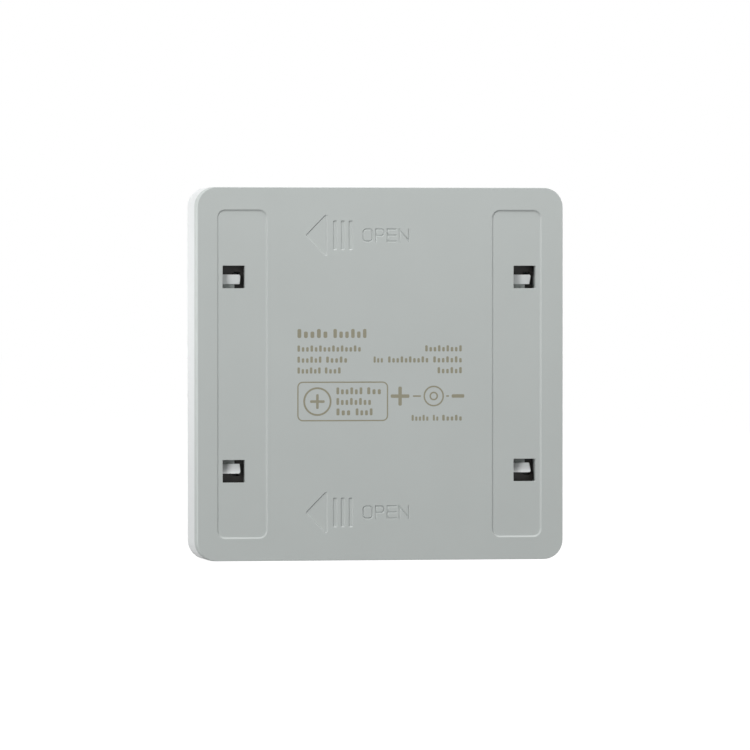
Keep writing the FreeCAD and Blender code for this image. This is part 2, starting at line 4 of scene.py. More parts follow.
import bmesh
import bpy
from bpy.props import FloatProperty, FloatVectorProperty, PointerProperty
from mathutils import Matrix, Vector


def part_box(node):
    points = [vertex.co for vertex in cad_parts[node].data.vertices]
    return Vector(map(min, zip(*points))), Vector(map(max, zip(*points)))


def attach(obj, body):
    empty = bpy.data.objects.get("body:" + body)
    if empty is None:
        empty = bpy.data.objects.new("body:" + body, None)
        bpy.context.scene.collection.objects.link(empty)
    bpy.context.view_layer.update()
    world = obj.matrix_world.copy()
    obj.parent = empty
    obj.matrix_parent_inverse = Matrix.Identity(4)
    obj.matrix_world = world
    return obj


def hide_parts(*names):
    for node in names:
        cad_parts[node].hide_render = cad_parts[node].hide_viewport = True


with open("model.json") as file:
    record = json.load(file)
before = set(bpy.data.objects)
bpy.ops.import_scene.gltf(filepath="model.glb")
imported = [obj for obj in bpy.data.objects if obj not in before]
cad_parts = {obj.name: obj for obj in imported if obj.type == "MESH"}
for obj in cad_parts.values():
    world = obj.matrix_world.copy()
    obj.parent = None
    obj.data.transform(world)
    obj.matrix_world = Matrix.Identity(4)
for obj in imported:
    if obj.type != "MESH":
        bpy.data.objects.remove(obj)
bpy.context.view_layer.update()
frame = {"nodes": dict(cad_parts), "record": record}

# A wireless wall switch with four keys, standing on its lower edge with its back to the camera.
# The wall plane is Y = 0, the keys face -Y and Z is up. A depth is measured from the wall plane, so it
# lies at Y = -depth. Places on the back are given as seen from behind, where "right" is -X.
# Sizes are in millimetres, and pieces are modelled in them, because the Boolean step loses fine edges on a
# mesh in metres. hand_over brings each finished piece to metres.

bl_info = {
    "name": "Wall switch",
    "version": (1, 0, 0),
    "blender": (4, 5, 0),
    "location": "3D View > Sidebar > Wall switch",
    "description": "Models the shells, keys, print and finishes of a wireless wall switch on its frame",
    "category": "Object",
}

mm = 0.001

# Allowances of the modelling steps: what counts as one place, how far a cutter reaches past a face, how
# deep a joined piece is sunk into the other, and how far a cutter's mouth stands off the surface
tiny = 0.001
past = 1.0
bury = 0.4
mouth_gap = 0.01

# Steps in which an edge or a corner is rounded, from the fewest to the outline's
rim_steps = 2
soft_steps = 3
small_steps = 4
mark_steps = 5
round_steps = 8
strip_steps = 10
corner_steps = 12

# Edges that are sharper than the bevel angle are rounded, and flatter ones than the smooth angle shade as
# one surface
bevel_angle = math.radians(30)
smooth_angle = math.radians(40)

# Outline of the device
half = round(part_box("back_cover")[1].x / mm, 3)
thickness = round(-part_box("key_1")[0].y / mm, 3)
corner_radius = 4.5

# Back cover
cover_skin = 1.6
cover_rim_depth = 2.1
cover_rim_width = 2.0
cover_edge_chamfer = 0.5
guide_rib_width = 1.0
guide_rib_depth = 2.0
guide_rib_clearance = 0.15
slide_travel = 4.0
stop_rib_end_gap = 13.0
tape_across = 32.15
tape_width = 11.7
tape_length = 75.75
tape_radius = 1.9
tape_recess = 0.3
window_across = 34.07
window_up = 22.35
window_size = 5.2
window_radius = 0.15

# Catch between the housing's tongue and the cover's ledge
tongue_back = 1.72
tongue_front = 3.22
tongue_ramp = 0.7
tongue_width = 2.25
tongue_up = 21.8
tongue_end_gap = 0.8
tongue_under_skin = 0.6
tongue_corner = 0.5
tongue_slants = {1: 0.12, -1: 0.3}
stem_inset = 0.05
window_drafts = {1: 0.1, -1: 0.85}
post_thickness = 1.05
ledge_back = 3.32
ledge_front = 4.32
ledge_length = 3.2
ledge_rib = 0.8

# Opening marks. The fine lip is the share of the cover's lip that letters and the feet of marks have.
engraving_depth = 0.22
fine_lip = 0.25
mark_up = 31.95
arrow_apex = -17.4
arrow_width = 5.1
arrow_height = 10.58
arrow_apex_cut = 0.4
arrow_corner_cut = 1.2
bar_count = 3
bar_first = -10.5
bar_pitch = 1.83
bar_width = 0.96
bar_height = 6.8
bar_corner = 0.25
letter_depth = 0.2
letter_height = 3.2
letter_stroke = 0.42
letter_left = -4.08
letter_gap = 0.45
letter_corner = 0.9
bowl_height = 1.9
bowl_corner = 0.8
slant_rise = 0.7
letter_widths = {"O": 2.5, "P": 2.25, "E": 2.35, "N": 2.6}

# Housing
wall = 1.6
housing_back = 2.15
frame_front = 13.3
frame_edge_radius = 0.8
deck_back = 8.42
deck_front = 9.52
pcb_back = 6.42
pcb_front = 7.42
pcb_screw_across = 26.0
pcb_screw_up = 34.5
tray_back = 4.62
tray_front = 5.62
tray_screw_place = 37.5
boss_radius = 2.5
boss_front = 1.2
hole_radius = 1.04
hole_sides = 24
screw_reach = 3.7
switch_across = 20.6
switch_up = 14.0
switch_hole = 7.5
switch_hole_corner = 0.5
lens_up = 32.5
lens_hole_radius = 1.5
latch_inset = 4.0
latch_leg = 1.0
latch_barb = 0.6
latch_barb_height = 0.4
latch_width = 5.0
latch_gap = 0.35
latch_stop_gap = 0.05
ear_thickness = 1.6
ear_width = 2.4
ear_gap = 0.25
ear_cap_gap = 0.3
pivot_up = 38.35
pivot_depth = 11.22
pin_radius = 0.6
pin_clearance = 0.05

# Keys and their light bars
key_inner = 0.2
key_outer = 41.0
key_roof = 12.5
key_skirt_back = 10.32
key_skirt = 1.2
key_outer_corner = 2.5
key_inner_corner = 0.6
key_edge_radius = 0.5
key_boss_radius = 2.4
plunger_tip = 11.42
key_touch_gap = 0.05
lens_length = 6.0
lens_width = 1.4
lens_flange = 0.6
lens_gap = 0.05
lens_end_flat = 0.1
lens_edge_radius = 0.12
lens_flange_corner = 0.4

# Ink printed on the back, in words of plain dashes. The dashes stand tall at some places of a rhythm.
ink_rise = 0.012
ink_root = 0.05
ink_layer = (0, ink_root)
dash_pitch = 0.7
dash_share = 0.58
dash_rounding = 0.35
dash_rhythm = 5
tall_places = (0, 3)
low_dash = 0.72

# Rows of words: foot and height of each row, then left and right end of each word
printed_words = [
    (8.3, 2.06, ((-19.3, -11.7), (-10.9, -2.6))),
    (5.15, 1.42, ((-19.3, -4.1), (10.6, 19.6))),
    (2.6, 1.42, ((-19.3, -13.3), (-12.6, -7.3), (-1.5, 1.0), (1.9, 11.7), (12.5, 19.6))),
    (0.1, 1.42, ((-19.3, -13.5), (-12.9, -8.8), (13.5, 19.6))),
    (-4.7, 1.6, ((-10.2, -3.7), (-3.0, 0.7))),
    (-7.15, 1.6, ((-10.2, -1.7),)),
    (-9.55, 1.6, ((-10.2, -6.5), (-5.7, -1.3))),
    (-10.85, 1.35, ((7.4, 11.7), (12.4, 14.0), (14.6, 19.6))),
]

# Frame with a coin cell, and the polarity sign beside it. Lines are given as shares of the thin line.
frame_right = (-19.35, 1.9)
frame_up = (-10.9, -1.75)
frame_corner = 1.3
frame_line = 1.2
cell_place = (-14.65, -6.35)
cell_radius = 3.3
cell_line = 1.7
cell_plus = (3.4, 0.6)
sign_up = -5.15
sign_line = 1.4
sign_plus_right = 4.7
sign_plus = (4.4, 0.8)
sign_ring_right = 12.6
sign_rings = (2.4, 1.0)
sign_joins = ((7.7, 9.6), (15.5, 16.2))
sign_minus = (16.8, 19.8)
sign_minus_height = 0.8

# Depths of the block that each cutter of the back starts from, just outside the face
mouth = (-past, ink_rise - mouth_gap)

# Finishes: length of the flow marks, width in which the painted highlight on the cover's edge fades in, swing
# of a moulding's roughness, size of the clouds in a light bar and pitch of the board's glass weave
flow_mark = 14 * mm
edge_highlight_fade = 0.1
gloss_swing = 0.06
lens_cloud = 1.5 * mm
weave_pitch = 1.2 * mm

# Moulded and sintered pieces inside: colour, grain and bump depth in millimetres, roughness, swing of tone
inner_mouldings = {
    # Black ABS tray: a dark satin ground that shows only as shade in the windows
    "moulded_black_abs": ("2E2C2A", 0.4, 0.008, 0.42, 0.06),
    # Nylon without pigment: warm white and waxy
    "natural_nylon": ("D9D6CB", 0.5, 0.004, 0.4, 0.02),
    # Moulding compound of a chip: matt, nearly black and faintly mottled
    "black_epoxy_moulding": ("1B1B1C", 0.2, 0.006, 0.55, 0.1),
    # Seal of the coin cell: plain grey and smooth
    "grey_polypropylene": ("8E8E88", 0.4, 0.004, 0.45, 0.03),
    # Sintered capacitor bodies: even tan with a slight sheen
    "tan_ceramic": ("A68560", 0.2, 0.004, 0.35, 0.06),
    # Phosphor in clear resin: pale yellow and glossy
    "phosphor_resin": ("EDE2A8", 0.3, 0.002, 0.2, 0.04),
}

# Plated pieces inside: colour, roughness, spacing of the lines in millimetres, and their stretch
inner_platings = {
    # Nickel plate: warm grey, with drawing lines across its height
    "nickel_plated_steel": ("C9C7C2", 0.3, 0.25, (1, 1, 8)),
    # Tin plate: whiter and duller, with rolling lines up the sheet
    "tin_plated_steel": ("C2C3C1", 0.34, 0.3, (6, 1, 1)),
    # Thin gold on copper: yellow and even
    "gold_plated_copper": ("D9A94F", 0.26, 0.2, (1, 1, 1)),
}

slot_finishes = {
    "black_plastic": "moulded_black_abs", "plunger_plastic": "natural_nylon",
    "board": "solder_mask_on_glass_epoxy", "gasket_plastic": "grey_polypropylene",
    "chip_plastic": "black_epoxy_moulding", "led_resin": "phosphor_resin",
    "capacitor_ceramic": "tan_ceramic", "cell_steel": "nickel_plated_steel",
    "screw_steel": "nickel_plated_steel", "shield_steel": "tin_plated_steel",
    "contact_metal": "nickel_plated_steel", "copper_trace": "gold_plated_copper",
}

# Stage: the gap under the device in millimetres, the point the camera aims at, and the place and size of
# each softbox in metres
floor_size = 8.0
floor_gap = 0.1
floor_bounce = 0.2
aim_across = 1.18 * mm
aim_up = -0.26 * mm
sensor_width = 36.0
overhead_softbox = ((-0.09, 0.15, 0.33), (0.3, 0.2))
front_softbox = ((0.85, 0.82, 0.1), (0.5, 0.5))
key_side_softbox = ((-0.85, -0.87, 0.05), (0.6, 0.6))
side_softbox = ((0.14, -0.055, 0.025), (0.1, 0.06))
side_softbox_aim = (0.0, -0.02, 0.03)
side_softbox_spread = math.radians(80.0)

quarters = [(1, 1), (-1, 1), (1, -1), (-1, -1)]


def linear(code):
    """An sRGB hex colour as linear red, green, blue and alpha."""
    parts = [int(code[start:start + 2], 16) / 255 for start in (0, 2, 4)]
    return tuple(v / 12.92 if v <= 0.04045 else ((v + 0.055) / 1.055) ** 2.4 for v in parts) + (1.0,)


def in_mm(length):
    return length / mm


def in_metres(length):
    return length * mm


def colour_setting(name, code, description):
    return FloatVectorProperty(name=name, description=description, subtype="COLOR", size=4,
                               min=0.0, max=1.0, default=linear(code))


def length_setting(name, millimetres, description):
    return FloatProperty(name=name, description=description, unit="LENGTH", subtype="DISTANCE",
                         min=0.0, default=millimetres * mm)


def power_setting(name, watts, description):
    return FloatProperty(name=name, description=description, unit="POWER", min=0.0, default=watts)


class CoverLook(bpy.types.PropertyGroup):
    colour: colour_setting("Colour", "B4B9B7", "Grey-green of the moulded cover")
    slope: length_setting("Slope", 0.33, "Width of the sloped wall round each tape strip")
    mark_slope: length_setting("Mark slope", 0.2, "Width of the sloped wall round arrow and bars")
    letter_slope: length_setting("Letter slope", 0.16, "Width of the sloped wall round the letters")
    lip: length_setting("Lip", 0.08, "Reach of the soft edge round each recess")
    softness: length_setting("Softness", 0.12, "Radius that the mould leaves on sharp edges")
    grain: length_setting("Grain", 0.45, "Size of the mould's spark texture")


class PrintLook(bpy.types.PropertyGroup):
    colour: colour_setting("Ink", "8F8C7A", "Taupe printing ink")
    line: length_setting("Line", 0.25, "Width of the thin printed lines")


class HousingLook(bpy.types.PropertyGroup):
    colour: colour_setting("Colour", "E4E7E7", "White of the moulded housing")
    softness: length_setting("Softness", 0.1, "Radius that the mould leaves on sharp edges")
    grain: length_setting("Grain", 0.5, "Size of the mould's spark texture")


class KeyLook(bpy.types.PropertyGroup):
    colour: colour_setting("Colour", "EBEDED", "White of the keys")
    lens_colour: colour_setting("Lens colour", "F2F2EE", "Milky white of the light bars")
    softness: length_setting("Softness", 0.08, "Radius that the mould leaves on sharp edges")
    grain: length_setting("Grain", 0.6, "Size of the keys' fine matt texture")


class StageLook(bpy.types.PropertyGroup):
    floor_colour: colour_setting("Floor", "FFFFFF", "Colour of the plain floor")
    distance: length_setting("Distance", 1600.0, "Camera to the middle of the back")
    azimuth: FloatProperty(name="Azimuth", description="Turn of the camera towards the seen side wall",
                           subtype="ANGLE", default=math.radians(10.0))
    elevation: FloatProperty(name="Elevation", description="Height of the camera above the middle",
                             subtype="ANGLE", default=math.radians(0.79))
    sight: length_setting("Frame width", 173.05, "Width of the picture at the camera's distance")
    ambient: FloatProperty(name="Ambient", description="Strength of the even light all round", min=0.0,
                           default=0.25)
    overhead_power: power_setting("Overhead power", 1.1, "Power of the overhead softbox")
    front_power: power_setting("Front power", 10.4, "Power of the far softbox on the seen side")
    far_power: power_setting("Key side power", 16.8, "Power of the softbox on the key side")
    side_power: power_setting("Side power", 0.0145, "Power of the softbox beside the seen wall")
    shadow: FloatProperty(name="Floor shadow", description="Share of the floor's white that shadow takes",
                          subtype="FACTOR", min=0.0, max=1.0, default=0.16)


def object_mode():
    """Leaves edit mode with nothing selected. The frame's own nodes come in selected."""
    if bpy.context.mode != "OBJECT":
        bpy.ops.object.mode_set(mode="OBJECT")
    bpy.ops.object.select_all(action="DESELECT")


def activate(piece):
    object_mode()
    piece.select_set(True)
    bpy.context.view_layer.objects.active = piece


def edit(piece):
    activate(piece)
    bpy.ops.object.mode_set(mode="EDIT")


def pick(piece, kind, test):
    """In edit mode, selects only the edges or faces that pass a test."""
    bpy.ops.mesh.select_mode(type=kind)
    bpy.ops.mesh.select_all(action="DESELECT")
    mesh = bmesh.from_edit_mesh(piece.data)
    chosen = [item for item in (mesh.faces if kind == "FACE" else mesh.edges) if test(item)]
    if not chosen:
        raise RuntimeError(f"{piece.name}: nothing to shape there")
    for item in chosen:
        item.select_set(True)
    bmesh.update_edit_mesh(piece.data)


def lies_at(axis, *places):
    """Test for an edge or face that lies wholly at one of some places on an axis."""
    return lambda item: any(all(abs(v.co[axis] - place) < tiny for v in item.verts) for place in places)


def runs_along(axis, *tests):
    """Test for an edge that runs along an axis, all but a hair, and passes any further tests."""
    def test(edge):
        way = edge.verts[1].co - edge.verts[0].co
        return way.length - abs(way[axis]) < tiny * way.length and all(extra(edge) for extra in tests)
    return test


def named(name):
    piece = bpy.context.object
    piece.name = name
    piece.data.name = name
    bpy.ops.object.transform_apply(location=True, rotation=True, scale=True)
    return piece


def block(name, x, depth, z):
    """A box between two places across, two depths and two heights."""
    object_mode()
    low = (min(x), -max(depth), min(z))
    high = (max(x), -min(depth), max(z))
    bpy.ops.mesh.primitive_cube_add(size=1, location=[(a + b) / 2 for a, b in zip(low, high)])
    bpy.context.object.scale = [b - a for a, b in zip(low, high)]
    return named(name)


def post(name, x, z, radius, depth, sides=48):
    """A round post along Y."""
    object_mode()
    bpy.ops.mesh.primitive_cylinder_add(vertices=sides, radius=radius, depth=abs(depth[1] - depth[0]),
                                        location=(x, -(depth[0] + depth[1]) / 2, z),
                                        rotation=(math.pi / 2, 0, 0))
    return named(name)


def pin(name, x, z, radius, sides=32):
    """A round pin along X at the keys' pivot depth."""
    object_mode()
    bpy.ops.mesh.primitive_cylinder_add(vertices=sides, radius=radius, depth=abs(x[1] - x[0]),
                                        location=((x[0] + x[1]) / 2, -pivot_depth, z),
                                        rotation=(0, math.pi / 2, 0))
    return named(name)


def round_edges(piece, test, radius, steps):
    edit(piece)
    pick(piece, "EDGE", test)
    bpy.ops.mesh.bevel(offset=radius, segments=steps, affect="EDGES", clamp_overlap=True)
    object_mode()
    return piece


def slab(name, x, depth, z, radius, steps=round_steps):
    """A box with its four edges along Y rounded."""
    return round_edges(block(name, x, depth, z), runs_along(1), radius, steps)


def bend(before, corner, after, steps=soft_steps):
    """Points round a soft corner, from one side of it to the other."""
    shares = [step / steps for step in range(steps + 1)]
    return [before.lerp(corner, share).lerp(corner.lerp(after, share), share) for share in shares]


def soft_lip(lip, way):
    """Points of a recess's soft lip. They start just above the surface, so no two faces share a plane."""
    return [Vector((-lip, -mouth_gap))] + bend(Vector((-lip, 0)), Vector((0, 0)), way * lip)[1:]


def pocket_wall(slope, depth, lip, foot):
    """Points of a pocket's wall, as width and depth, from its soft lip down to its soft foot."""
    end = Vector((slope, depth))
    way = end.normalized()
    return soft_lip(lip, way) + bend(end - way * foot, end, end + Vector((foot, 0)))


def carve(piece, place, points):
    """Insets the face at one Y step by step, so that the wall round it follows some points."""
    edit(piece)
    pick(piece, "FACE", lies_at(1, place))
    for near, far in zip(points, points[1:]):
        bpy.ops.mesh.inset(thickness=far.x - near.x, depth=far.y - near.y)
    object_mode()
    return piece


def move_some(piece, kind, test, value):
    edit(piece)
    pick(piece, kind, test)
    bpy.ops.transform.translate(value=value)
    object_mode()
    return piece


def joined(name, pieces):
    """Several meshes as one object, without merging them."""
    object_mode()
    for piece in pieces:
        piece.select_set(True)
    bpy.context.view_layer.objects.active = pieces[0]
    bpy.ops.object.join()
    return named(name)


def combine(piece, other, operation):
    """Adds another mesh to a piece, or cuts it out of the piece."""
    activate(piece)
    step = piece.modifiers.new("combine", "BOOLEAN")
    step.operation = operation
    step.solver = "EXACT"
    step.object = other
    bpy.ops.object.modifier_apply(modifier=step.name)
    bpy.data.objects.remove(other)
    edit(piece)
    bpy.ops.mesh.select_all(action="SELECT")
    bpy.ops.mesh.remove_doubles(threshold=2 * tiny)
    bpy.ops.mesh.dissolve_degenerate(threshold=2 * tiny)
    object_mode()
    return piece


def copied(piece, name, move=(0, 0, 0), mirror=(1, 1)):
    """A copy with its own mesh, moved, and mirrored across X or Z where a factor is -1."""
    activate(piece)
    bpy.ops.object.duplicate(linked=False)
    bpy.context.object.location = move
    bpy.context.object.scale = (mirror[0], 1, mirror[1])
    made = named(name)
    edit(made)
    bpy.ops.mesh.select_all(action="SELECT")
    bpy.ops.mesh.remove_doubles(threshold=tiny / 10)
    bpy.ops.mesh.normals_make_consistent(inside=False)
    object_mode()
    return made


def soften(piece, width):
    """Rounds every edge a little and evens the shading of the flat faces."""
    activate(piece)
    bevel = piece.modifiers.new("soft edges", "BEVEL")
    bevel.width = width
    bevel.segments = rim_steps
    bevel.limit_method = "ANGLE"
    bevel.angle_limit = bevel_angle
    bpy.ops.object.modifier_apply(modifier=bevel.name)
    smooth(piece)


def smooth(piece):
    activate(piece)
    bpy.ops.object.shade_smooth_by_angle(angle=smooth_angle)
    even = piece.modifiers.new("even shading", "WEIGHTED_NORMAL")
    even.keep_sharp = True
    bpy.ops.object.modifier_apply(modifier=even.name)


def hand_over(piece, body, slot, material, *nodes):
    """Gives a finished piece its material and its body, and hides the frame's nodes that it stands for."""
    activate(piece)
    piece.scale = (mm, mm, mm)
    bpy.ops.object.transform_apply(location=True, rotation=True, scale=True)
    piece.data.materials.clear()
    piece.data.materials.append(material)
    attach(piece, body)
    if nodes:
        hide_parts(*nodes)


def node(tree, kind, inputs=None, **settings):
    """Adds a node, sets its properties, and sets or links its inputs."""
    made = tree.nodes.new(kind)
    for name, value in settings.items():
        setattr(made, name, value)
    for name, value in (inputs or {}).items():
        if isinstance(value, bpy.types.NodeSocket):
            tree.links.new(value, made.inputs[name])
        else:
            made.inputs[name].default_value = value
    return made


def new_tree(name):
    material = bpy.data.materials.get(name) or bpy.data.materials.new(name)
    material.use_nodes = True
    material.node_tree.nodes.clear()
    return material, material.node_tree


def moulded(name, colour, grain, bump_depth, roughness, mottle, specular=0.5, painted_edge_highlight=None):
    """Injection-moulded plastic: a fine mould grain, slow flow marks in the tone and an uneven gloss. A
    painted highlight can lighten the cover's edge, where the side light falls.
    """
    material, tree = new_tree(name)
    place = node(tree, "ShaderNodeTexCoord").outputs["Object"]
    fine = node(tree, "ShaderNodeTexNoise", {
        "Vector": place, "Scale": 1 / grain, "Detail": 2.0, "Roughness": 0.6}).outputs["Fac"]
    flow = node(tree, "ShaderNodeTexNoise", {
        "Vector": place, "Scale": 1 / flow_mark, "Detail": 3.0, "Roughness": 0.5}).outputs["Fac"]
    shade = node(tree, "ShaderNodeMapRange", {
        "Value": flow, "From Min": 0.3, "From Max": 0.7,
        "To Min": 1 - mottle, "To Max": 1 + mottle}).outputs["Result"]
    # Painted highlight: the cover's edge, most of all the +X chamfer, is made lighter in colour in place of
    # the side light that falls on it
    if painted_edge_highlight:
        pale = node(tree, "ShaderNodeMapRange", {
            "Value": past_the_face(tree, place), "From Min": -in_metres(edge_highlight_fade), "From Max": 0.0,
            "To Min": 1.0, "To Max": painted_edge_highlight}).outputs["Result"]
        shade = node(tree, "ShaderNodeMath", {0: shade, 1: pale}, operation="MULTIPLY").outputs[0]
    tint = node(tree, "ShaderNodeVectorMath", {0: colour[:3], "Scale": shade}, operation="SCALE")
    gloss = node(tree, "ShaderNodeMapRange", {
        "Value": fine, "To Min": roughness - gloss_swing, "To Max": roughness + gloss_swing})
    bump = node(tree, "ShaderNodeBump", {"Height": fine, "Distance": bump_depth, "Strength": 1.0})
    body = node(tree, "ShaderNodeBsdfPrincipled", {
        "Base Color": tint.outputs["Vector"], "Roughness": gloss.outputs["Result"],
        "Normal": bump.outputs["Normal"], "IOR": 1.5, "Specular IOR Level": specular})
    node(tree, "ShaderNodeOutputMaterial", {"Surface": body.outputs["BSDF"]})
    return material


def past_the_face(tree, place):
    """How far a point lies outside the cover's flat face, whose outline stops short of the +X side. It masks
    the painted highlight on the cover's edge.
    """
    apart = node(tree, "ShaderNodeSeparateXYZ", {"Vector": place})
    height = node(tree, "ShaderNodeMath", {0: apart.outputs["Z"]}, operation="ABSOLUTE").outputs[0]
    straight = half - corner_radius
    beyond = []
    for value, start in ((apart.outputs["X"], straight - cover_edge_chamfer), (height, straight)):
        rest = node(tree, "ShaderNodeMath", {0: value, 1: in_metres(start)}, operation="SUBTRACT")
        beyond.append(node(tree, "ShaderNodeMath", {0: rest.outputs[0], 1: 0.0}, operation="MAXIMUM"))
    corner = node(tree, "ShaderNodeCombineXYZ", {"X": beyond[0].outputs[0], "Y": beyond[1].outputs[0]})
    reach = node(tree, "ShaderNodeVectorMath", {0: corner.outputs["Vector"]}, operation="LENGTH")
    return node(tree, "ShaderNodeMath", {0: reach.outputs["Value"], 1: in_metres(corner_radius)},
                operation="SUBTRACT").outputs[0]


def patterned(tree, colour, value, low, high):
    """A colour that a pattern's value darkens and lightens between two factors."""
    tone = node(tree, "ShaderNodeMapRange", {"Value": value, "To Min": low, "To Max": high})
    return node(tree, "ShaderNodeVectorMath", {0: colour[:3], "Scale": tone.outputs["Result"]},
                operation="SCALE").outputs["Vector"]


def plated(name, colour, roughness, brush, stretch):
    """Plated sheet metal: fine rolling or drawing lines that streak the gloss."""
    material, tree = new_tree(name)
    place = node(tree, "ShaderNodeTexCoord").outputs["Object"]
    turned = node(tree, "ShaderNodeMapping", {"Vector": place, "Scale": stretch})
    lines = node(tree, "ShaderNodeTexNoise", {
        "Vector": turned.outputs["Vector"], "Scale": 1 / brush, "Detail": 2.0,
        "Roughness": 0.55}).outputs["Fac"]
    gloss = node(tree, "ShaderNodeMapRange", {
        "Value": lines, "To Min": roughness - 0.08, "To Max": roughness + 0.1})
    bump = node(tree, "ShaderNodeBump", {"Height": lines, "Distance": 0.004 * mm})
    body = node(tree, "ShaderNodeBsdfPrincipled", {
        "Base Color": patterned(tree, colour, lines, 0.93, 1.05), "Roughness": gloss.outputs["Result"],
        "Normal": bump.outputs["Normal"], "Metallic": 1.0})
    node(tree, "ShaderNodeOutputMaterial", {"Surface": body.outputs["BSDF"]})
    return material


def cover_abs(look):
    """Grey-green ABS from a spark-eroded mould: satin, with a faint grain on the face, and a painted
    highlight that makes the edge paler where the side light falls.
    """
    # The edge's colour is painted 1.18 times lighter as a highlight of the side light
    return moulded("moulded_grey_abs", look.colour, look.grain, bump_depth=0.006 * mm, roughness=0.5,
                   mottle=0.012, painted_edge_highlight=1.18)


def housing_pc(look):
    """White PC/ABS, moulded satin: clean and bright, with a little more gloss than the cover."""
    return moulded("moulded_white_pc_abs", look.colour, look.grain, bump_depth=0.004 * mm,
                   roughness=0.42, mottle=0.008)


def key_pc(look):
    """White polycarbonate keys with a fine matt etch."""
    return moulded("etched_white_polycarbonate", look.colour, look.grain, bump_depth=0.005 * mm,
                   roughness=0.46, mottle=0.006)


def light_pipe(look):
    """Milky light-pipe polycarbonate: polished, with light scattering just under the surface."""
    material, tree = new_tree("milky_light_pipe_polycarbonate")
    place = node(tree, "ShaderNodeTexCoord").outputs["Object"]
    cloud = node(tree, "ShaderNodeTexNoise", {
        "Vector": place, "Scale": 1 / lens_cloud, "Detail": 2.0}).outputs["Fac"]
    gloss = node(tree, "ShaderNodeMapRange", {"Value": cloud, "To Min": 0.14, "To Max": 0.24})
    body = node(tree, "ShaderNodeBsdfPrincipled", {
        "Base Color": patterned(tree, look.lens_colour, cloud, 0.97, 1.02),
        "Roughness": gloss.outputs["Result"], "IOR": 1.58, "Subsurface Weight": 0.5,
        "Subsurface Radius": (1.0, 0.95, 0.9), "Subsurface Scale": 1.2 * mm})
    node(tree, "ShaderNodeOutputMaterial", {"Surface": body.outputs["BSDF"]})
    return material


def pad_ink(look):
    """Pad-printing ink: flat taupe with a slightly uneven film."""
    return moulded("pad_printed_taupe_ink", look.colour, 0.3 * mm, bump_depth=0.002 * mm, roughness=0.6,
                   mottle=0.04, specular=0.3)


def solder_mask():
    """Green solder mask over glass epoxy: glossy, with the weave just showing through."""
    material, tree = new_tree("solder_mask_on_glass_epoxy")
    place = node(tree, "ShaderNodeTexCoord").outputs["Object"]
    weave = node(tree, "ShaderNodeTexWave", {"Vector": place, "Scale": 1 / weave_pitch, "Distortion": 0.6},
                 bands_direction="DIAGONAL").outputs["Fac"]
    body = node(tree, "ShaderNodeBsdfPrincipled", {
        "Base Color": patterned(tree, linear("17452F"), weave, 0.9, 1.1), "Roughness": 0.28,
        "IOR": 1.52, "Coat Weight": 0.4})
    node(tree, "ShaderNodeOutputMaterial", {"Surface": body.outputs["BSDF"]})
    return material


def right_block(name, right, depth, up):
    """A box placed as seen from behind."""
    return block(name, (-right[0], -right[1]), depth, up)


def letter_ring(name, right, up, radius, test, grown):
    """A closed letter stroke: an outer block less an inner one, with the chosen corners rounded."""
    def ring_block(made, inset, depth):
        return right_block(made, (right[0] + inset, right[1] - inset), depth,
                           (up[0] + inset, up[1] - inset))

    outer = round_edges(ring_block(name, -grown, mouth), test, radius + grown, round_steps)
    inner = ring_block("inner", letter_stroke + grown, (mouth[0] - past, mouth[1] + past))
    inner = round_edges(inner, test, radius - letter_stroke - grown, round_steps)
    return combine(outer, inner, "DIFFERENCE")


def word_cutter(look, up):
    """The word OPEN in plain single strokes, each cut with sloped walls."""
    grown = in_mm(look.lip) * fine_lip
    points = pocket_wall(in_mm(look.letter_slope), letter_depth, grown, grown)

    def stroke(name, right, rise):
        return right_block(name, (right[0] - grown, right[1] + grown), mouth,
                           (rise[0] - grown, rise[1] + grown))

    def letter(strokes):
        cut = [carve(made, -mouth[1], points) for made in strokes]
        for other in cut[1:]:
            combine(cut[0], other, "UNION")
        return cut[0]

    low = up - letter_height / 2
    high = up + letter_height / 2
    line = letter_stroke
    start = letter_left
    end = start + letter_widths["O"]
    letters = [letter([letter_ring("o", (start, end), (low, high), letter_corner, runs_along(1), grown)])]

    start = end + letter_gap
    end = start + letter_widths["P"]
    right_half = runs_along(1, lambda edge: edge.verts[0].co.x < -(start + end) / 2)
    letters.append(letter([stroke("p", (start, start + line), (low, high)),
                           letter_ring("p_bowl", (start, end), (high - bowl_height, high), bowl_corner,
                                       right_half, grown)]))

    start = end + letter_gap
    end = start + letter_widths["E"]
    letters.append(letter([stroke("e", (start, start + line), (low, high))]
                          + [stroke("e_arm", (start, end), (arm, arm + line))
                             for arm in (low, up - line / 2, high - line)]))

    start = end + letter_gap
    end = start + letter_widths["N"]
    slant = stroke("n_slant", (start + line / 2, end - line / 2), (high - slant_rise, high))
    move_some(slant, "FACE", lies_at(0, line / 2 - end - grown), (0, 0, slant_rise - letter_height))
    letters.append(letter([stroke("n", (start, start + line), (low, high)), slant,
                           stroke("n_stem", (end - line, end), (low, high))]))
    return joined("word", letters)


